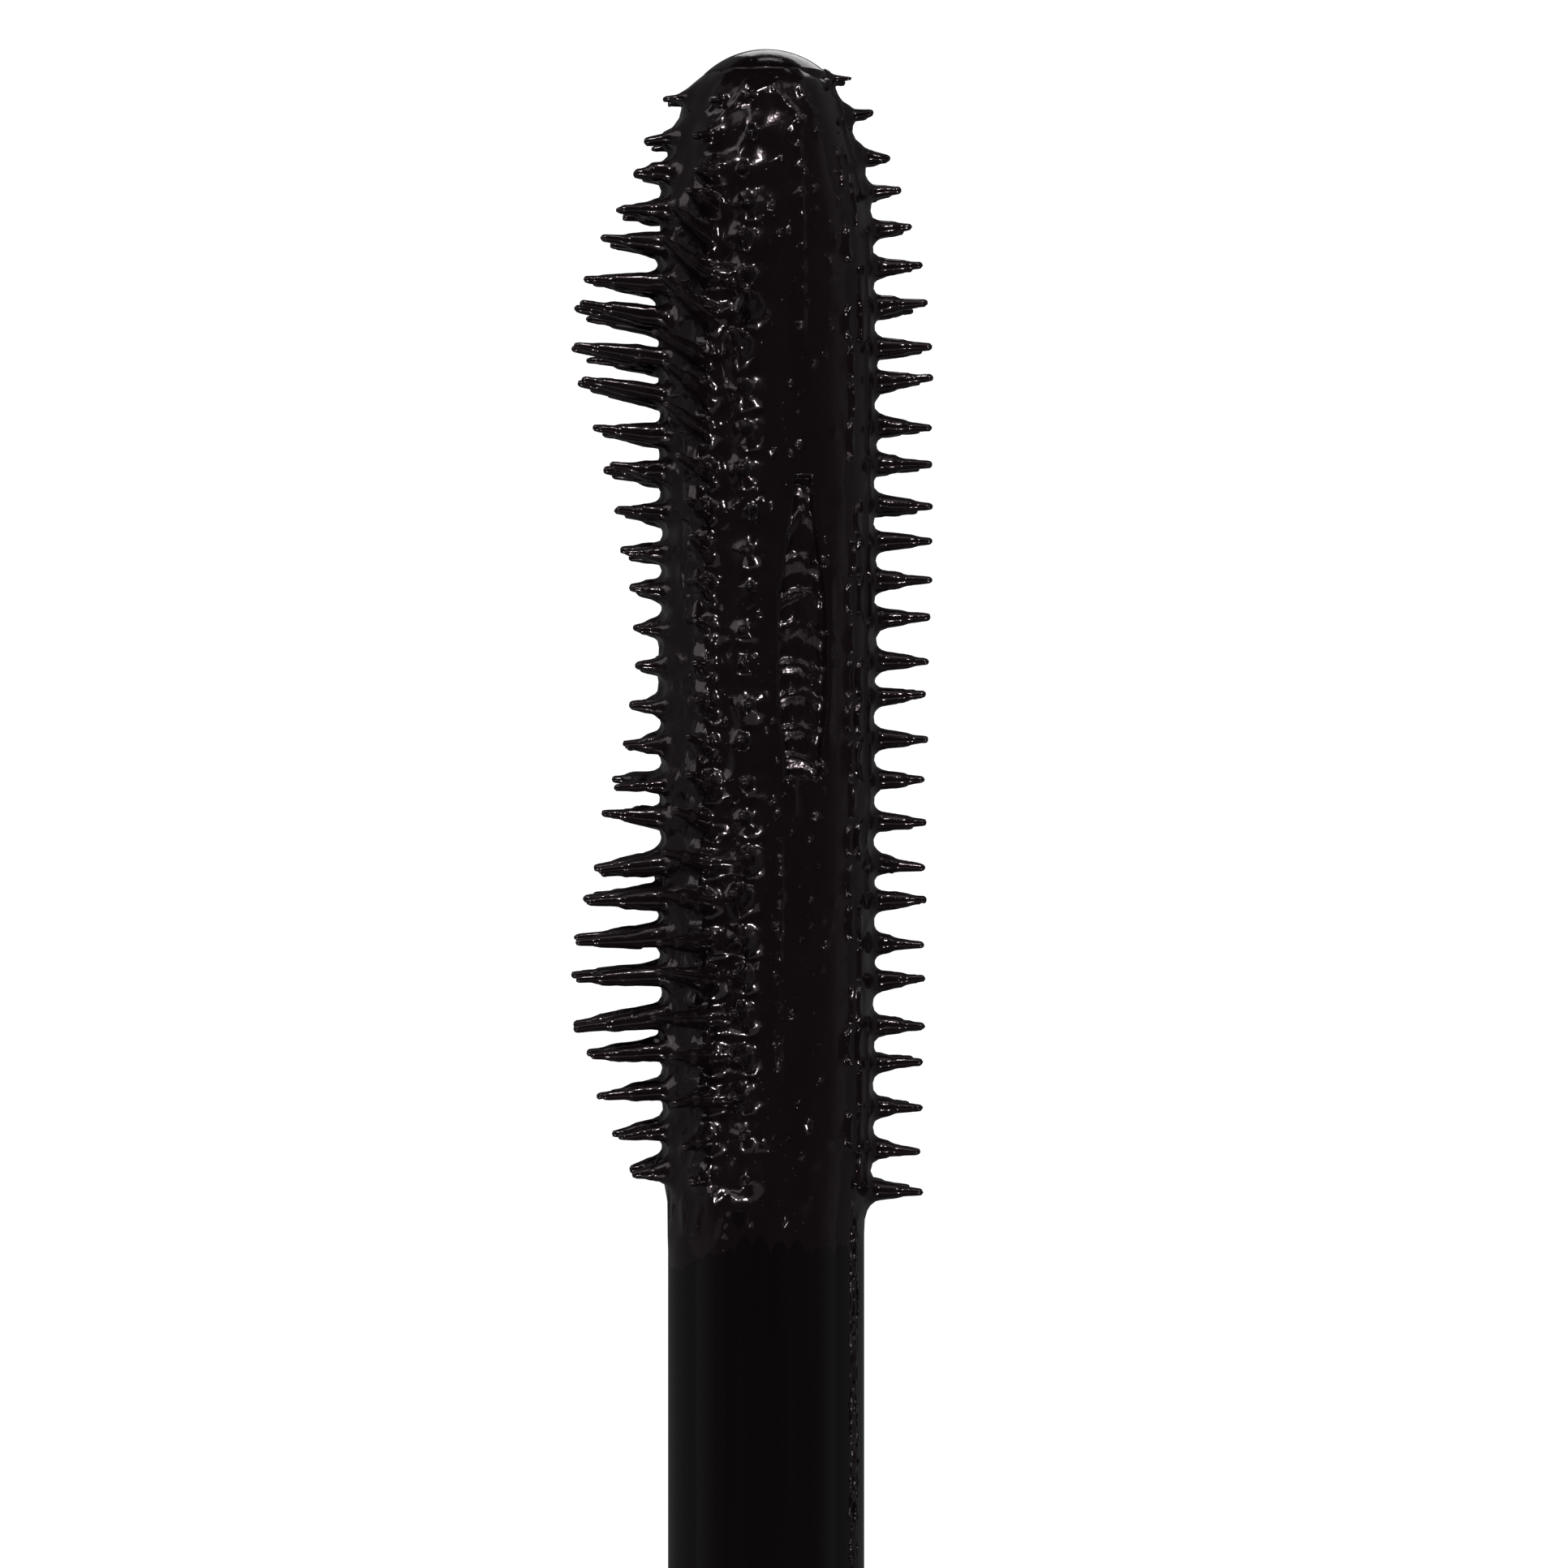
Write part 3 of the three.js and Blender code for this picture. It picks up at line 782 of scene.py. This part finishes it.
def rounded(outline, radius, closed):
    """The outline with every corner off the axis turned into an arc, and points beside each arc.

    An outline that isn't closed keeps its two ends.
    """
    count = len(outline)
    made = []
    for i, here in enumerate(outline):
        if here[0] < CLOSE or (not closed and i in (0, count - 1)):
            made.append(here)
            continue
        here = np.array(here)
        before, after = np.array(outline[i - 1]), np.array(outline[(i + 1) % count])
        back, on = before - here, after - here
        cut = min(radius, 0.4 * min(np.linalg.norm(back), np.linalg.norm(on)))
        back, on = back / np.linalg.norm(back), on / np.linalg.norm(on)
        made.append(tuple(here + back * cut * 1.25))
        for t in np.linspace(0, 1, 6):
            made.append(tuple(here + back * cut * (1 - t) ** 2 + on * cut * t * t))
        made.append(tuple(here + on * cut * 1.25))
    return made


def revolve(name, outline, closed, segments=144):
    """A smooth surface of revolution about the axis, from (radius, x) points."""
    shape = bmesh.new()
    rings = []
    for r, x in outline:
        if r < CLOSE:
            ring = [polar(x, 0, 0)]
        else:
            ring = [polar(x, r, 360 * k / segments) for k in range(segments)]
        rings.append([shape.verts.new(point) for point in ring])
    pairs = list(zip(rings, rings[1:])) + ([(rings[-1], rings[0])] if closed else [])
    for a, b in pairs:
        for k in range(segments):
            n = (k + 1) % segments
            corners = []
            for vertex in (a[k % len(a)], a[n % len(a)], b[n % len(b)], b[k % len(b)]):
                if vertex not in corners:
                    corners.append(vertex)
            if len(corners) > 2:
                shape.faces.new(corners)
    bmesh.ops.recalc_face_normals(shape, faces=shape.faces)
    mesh = bpy.data.meshes.new(name)
    shape.to_mesh(mesh)
    shape.free()
    mesh.shade_smooth()
    return mesh


def turned(name, node, corner, material, body, slot):
    """A smooth copy of a turned CAD node, its corners rounded by corner millimetres."""
    outline = outline_of(node)
    closed = outline[0][0] > CLOSE
    if not closed and outline[-1][0] > CLOSE:
        outline = outline[::-1]
    mesh = revolve(name, rounded(outline, corner, closed), closed)
    return new_piece(name, mesh, material, body, slot, node)


def brush_rod():
    """The rod that carries the bristles, with its smooth domed tip."""
    low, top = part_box("brush_core")[0].x / MM, BRUSH_TIP - 0.01
    core, lip = 1.2, 1.42
    dome, dome_edge = 2.05, 1.36  # the dome's radius of curvature, and its radius at the lip
    foot = BRUSH_TIP - 0.53
    outline = [(0, low), (core, low), (core, foot - 0.5), (lip, foot - 0.3), (lip, foot - 0.05)]
    for t in np.linspace(math.asin(dome_edge / dome), 0, 16):
        outline.append((dome * math.sin(t), top - dome * (1 - math.cos(t))))
    outline[-1] = (0, top)
    mesh = revolve("brush_rod", outline, False)
    return new_piece("brush_rod", mesh, MASCARA, "wand", "mascara", "brush_core")


THREAD_PITCH = 3.0
THREAD_HEIGHT = 0.5
THREAD_ROOT, THREAD_CREST = 0.56, 0.30  # half widths of the ridge
THREAD_FADE = 1 / 8  # turns over which an end of the ridge grows
THREAD_STEP = 0.12  # millimetres between rings of points on a threaded wall
THREAD_SEGMENTS = 180
THREAD_CORNER = 0.12  # rounding of a threaded piece's corners


def ridge_height(x, degrees, first_x, first_turn, turns):
    """How high the helical ridge stands over its wall at x and at an angle."""
    past = ((90 - degrees) / 360 - first_turn) % 1
    height = 0.0
    while past <= turns:
        off = abs(x - first_x - THREAD_PITCH * past)
        grown = min(1, past / THREAD_FADE, (turns - past) / THREAD_FADE)
        across = float(step(THREAD_ROOT - off, 0, THREAD_ROOT - THREAD_CREST))
        height = max(height, THREAD_HEIGHT * grown * across)
        past += 1
    return height


def threaded(name, node, outline, wall, side, ridge, material, body, slot):
    """A turned piece with a helical ridge on one wall; side is 1 on a shaft, -1 in a bore.

    ridge holds the place and the turn where the ridge starts, and its number of turns.
    """
    closed = outline[0][0] > CLOSE
    outline = rounded(outline, THREAD_CORNER, closed)
    fine = []
    for here, after in zip(outline, outline[1:] + outline[:1]):
        fine.append(here)
        if abs(here[0] - wall) < 1e-6 and abs(after[0] - wall) < 1e-6:
            count = max(1, int(abs(after[1] - here[1]) / THREAD_STEP))
            inner = np.linspace(here[1], after[1], count + 1)[1:-1]
            fine.extend((wall, float(x)) for x in inner)
    mesh = revolve(name, fine, closed, THREAD_SEGMENTS)
    for vertex in mesh.vertices:
        x, y, z = vertex.co / MM
        r = math.hypot(y, z - AXIS_Z)
        if abs(r - wall) < CLOSE:
            height = ridge_height(x, math.degrees(math.atan2(z - AXIS_Z, -y)), *ridge)
            grow = (r + side * height) / r
            vertex.co = Vector((x, y * grow, (z - AXIS_Z) * grow + AXIS_Z)) * MM
    mesh.update()
    return new_piece(name, mesh, material, body, slot, node)


def reach_of(node):
    """A turned node's first and last place along the axis, and its outer radius."""
    low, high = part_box(node)
    return low.x / MM, high.x / MM, (high.y - low.y) / 2 / MM


def inner_cap():
    """The inner cap: a holder for the stem's head, a web and the threaded socket."""
    low, high, outer = reach_of("inner_cap")
    head, hole, socket = 3.7, 2.35, 6.0
    web, floor_x = low + 11, low + 14
    outline = [
        (head, low), (outer, low), (outer, high), (socket, high), (socket, floor_x),
        (hole, floor_x), (hole, web), (head, web),
    ]
    ridge = (low + 19.1, 0.0, 1.75)
    dark, light = (0.010, 0.010, 0.011), (0.016, 0.016, 0.017)
    plastic = plain_material("inner_plastic", dark, light, 0.35, 0.55)
    piece = "inner_cap_smooth"
    threaded(piece, "inner_cap", outline, socket, -1, ridge, plastic, "wand", "inner_plastic")


def inner_bottle():
    """The bottle inside the tube, with its threaded neck."""
    low, high, outer = reach_of("inner_bottle")
    neck, neck_bore, bore, bottom = 5.3, 4.55, 5.6, outer - 0.8
    shoulder = low + 12.35
    outline = [
        (0, high - 1.2), (bore, high - 1.2), (bore, shoulder + 2.4), (neck_bore, shoulder),
        (neck_bore, low), (neck, low), (neck, shoulder), (outer, shoulder + 1),
        (outer, high - 1.4), (bottom, high), (0, high),
    ]
    ridge = (low + 4.95, 0.25, 1.25)
    dark, light = (0.022, 0.022, 0.025), (0.032, 0.032, 0.036)
    plastic = plain_material("bottle_plastic", dark, light, 0.12, 0.25)
    piece = "bottle_smooth"
    threaded(piece, "inner_bottle", outline, neck, 1, ridge, plastic, "tube", "bottle_plastic")


# ---- scene ----


FLOOR_HALF = 6.0  # metres
FLOOR_DIM = 0.06  # how pale the floor is to reflections
FLOOR_BOUNCE = 0.05  # the light it gives back to them
FLOOR_PALE = 0.30  # how pale it is to the eye, so that contact shadows show
FLOOR_GLOW = 1.0  # the light it adds to the eye

# Where the small bright lamps stand, in metres from the middle of the brush.
SPARKS = [
    (0.30, 0.22, 0.40), (-0.30, 0.25, 0.38), (0.30, -0.20, 0.40), (-0.28, -0.26, 0.40),
    (0.48, 0.0, 0.26),
]
SPARK, SPARK_SIZE = 150.0, 0.030  # their radiance and width

# The room's brightness, from straight below to straight above.
ROOM = [(0.0, 0.16), (0.15, 0.13), (0.44, 0.045), (0.75, 0.016), (1.0, 0.012)]


def camera():
    """Straight above the brush, with the comb side to the right and the tip at the top."""
    view_width = 35.94  # millimetres at the height of the axis
    aim = place(STEM_END + 9.56, 0.41, 0)
    lens = bpy.data.cameras.new("camera")
    lens.lens, lens.sensor_width = 135, 36
    lens.clip_start, lens.clip_end = 0.01, 20
    eye = bpy.data.objects.new("camera", lens)
    bpy.context.scene.collection.objects.link(eye)
    eye.location = aim + Vector((0, 0, view_width * MM * lens.lens / lens.sensor_width))
    eye.rotation_euler = (0, 0, -math.pi / 2)
    bpy.context.scene.camera = eye


def softbox(name, radiance, size, location, aim):
    """A rectangular lamp of an even radiance, facing aim."""
    light = bpy.data.lights.new(name, "AREA")
    light.shape, light.size, light.size_y = "RECTANGLE", size[0], size[1]
    light.energy = radiance * math.pi * size[0] * size[1]
    lamp = bpy.data.objects.new(name, light)
    bpy.context.scene.collection.objects.link(lamp)
    lamp.location = location
    lamp.rotation_euler = (aim - location).to_track_quat("-Z", "Y").to_euler()


def floor():
    """A pale floor that burns out to white round the object, and is dim in its reflections."""
    corners = [(x * FLOOR_HALF, y * FLOOR_HALF, 0) for x, y in ((-1, -1), (1, -1), (1, 1), (-1, 1))]
    mesh = bpy.data.meshes.new("floor")
    mesh.from_pydata(corners, [], [(0, 1, 2, 3)])
    look = Shader("floor_white", **{"Roughness": 0.9, "Specular IOR Level": 0.0})
    seen = look.add("ShaderNodeLightPath").outputs["Is Camera Ray"]
    look.colours(seen, (0.0, grey(FLOOR_DIM)), (1.0, grey(FLOOR_PALE)))
    glow = look.add("ShaderNodeMath", operation="MULTIPLY_ADD")
    glow.inputs[1].default_value = FLOOR_GLOW - FLOOR_BOUNCE
    glow.inputs[2].default_value = FLOOR_BOUNCE
    look.link(seen, glow.inputs[0])
    look.shader.inputs["Emission Color"].default_value = (1, 1, 1, 1)
    look.link(glow.outputs[0], look.shader.inputs["Emission Strength"])
    mesh.materials.append(look.material)
    obj = bpy.data.objects.new("floor", mesh)
    bpy.context.scene.collection.objects.link(obj)


def world():
    """A dim room, darker overhead, with white behind the floor."""
    sky = bpy.data.worlds.new("studio")
    bpy.context.scene.world = sky
    sky.use_nodes = True
    tree = sky.node_tree
    tree.nodes.clear()
    where = tree.nodes.new("ShaderNodeTexCoord")
    split = tree.nodes.new("ShaderNodeSeparateXYZ")
    ramp = tree.nodes.new("ShaderNodeValToRGB")
    path = tree.nodes.new("ShaderNodeLightPath")
    mix = tree.nodes.new("ShaderNodeMix")
    mix.data_type = "RGBA"  # its colour sockets are inputs 6 and 7, and output 2
    mix.inputs[7].default_value = (1, 1, 1, 1)
    back = tree.nodes.new("ShaderNodeBackground")
    out = tree.nodes.new("ShaderNodeOutputWorld")
    fill_ramp(ramp, [(height, grey(level)) for height, level in ROOM])
    tree.links.new(where.outputs["Generated"], split.inputs[0])
    tree.links.new(split.outputs["Z"], ramp.inputs["Fac"])
    tree.links.new(path.outputs["Is Camera Ray"], mix.inputs[0])
    tree.links.new(ramp.outputs["Color"], mix.inputs[6])
    tree.links.new(mix.outputs[2], back.inputs["Color"])
    tree.links.new(back.outputs["Background"], out.inputs["Surface"])


def lights():
    """Small bright lamps for the glints, and dim boxes off to the sides and ends.

    They keep off the plane square across the brush, so the smooth stem and band stay dark while
    the lumps and folds catch them.
    """
    mid, tip = place(STEM_END + 9.5, 0, 0), place(BRUSH_TIP, 0, 0)

    def facing_brush(name, radiance, size, offset):
        softbox(name, radiance, size, mid + Vector(offset), mid)

    facing_brush("tip_left_box", 0.7, (0.25, 0.25), (0.42, 0.42, 0.22))
    facing_brush("tip_right_box", 0.6, (0.2, 0.2), (0.42, -0.45, 0.18))
    facing_brush("pane_box", 0.9, (0.40, 0.28), (0.32, 0.62, 0.15))
    facing_brush("foot_left_box", 1.0, (0.2, 0.2), (-0.45, 0.38, 0.3))
    for i, spot in enumerate(SPARKS):
        facing_brush(f"spark_{i}", SPARK, (SPARK_SIZE, SPARK_SIZE), spot)
    facing_brush("rib_box", 1.6, (0.12, 0.08), (0.36, 0.20, 0.36))
    # Aimed along the axis: turned any other way it would cross the stem as a slanted stripe.
    slope = mid + Vector((-0.27, -0.15, 0.48))
    softbox("slope_box", 0.3, (0.85, 0.16), slope, slope + Vector((0.27, 0, -0.48)))
    facing_brush("top_box", 0.6, (0.5, 0.25), (0.55, -0.05, 0.34))
    # A few millimetres in front of the tip, for the rim of light on the dome.
    card = tip + Vector((0.0056, -0.0016, -0.0055))
    softbox("dome_card", 1.4, (0.0065, 0.0065), card, tip)


camera()
bpy.context.scene.view_settings.view_transform = "Standard"
world()
lights()
floor()

MASCARA = mascara_material()
STEM = stem_material()
GLOSS = gloss_material()
METAL = metal_material()
DISC = disc_material()

new_piece("loaded_bristles", loaded_brush(), MASCARA, "wand", "bristle_elastomer", "bristle_sleeve")
new_piece("stem_residue", residue(), MASCARA, "wand", "mascara")

turned("overcap_shell", "overcap", 0.3, GLOSS, "wand", "gloss_black")
turned("cap_band_ring", "cap_band", 0.2, METAL, "wand", "gunmetal")
turned("cap_end_trim", "cap_end_disc", 0.1, DISC, "wand", "gunmetal")
inner_cap()
STEEL = plain_material(
    "weight_steel", (0.32, 0.33, 0.34), (0.42, 0.43, 0.44), 0.3, 0.45, Metallic=1.0
)
turned("weight_block", "cap_weight", 0.3, STEEL, "wand", "weight_steel")
turned("stem_rod", "stem", 0.1, STEM, "wand", "stem_plastic")
brush_rod()
GASKET = plain_material("gasket_rubber", grey(0.012), grey(0.02), 0.6, 0.8)
turned("gasket", "gasket_ring", 0.2, GASKET, "gasket", "soft_rubber")
inner_bottle()
turned("outer_sleeve_shell", "outer_sleeve", 0.2, GLOSS, "tube", "gloss_black")
turned("shoulder_trim", "shoulder_ring", 0.2, METAL, "tube", "gunmetal")
turned("base_plug_cap", "base_plug", 0.2, GLOSS, "tube", "inner_plastic")
turned("base_trim", "base_disc", 0.1, DISC, "tube", "gunmetal")
WIPER = plain_material("wiper_rubber", grey(0.012), grey(0.02), 0.35, 0.55)
turned("wiper_ring", "wiper", 0.15, WIPER, "tube", "soft_rubber")
turned("bottle_lining", "formula_fill", 0.1, MASCARA, "formula", "mascara")
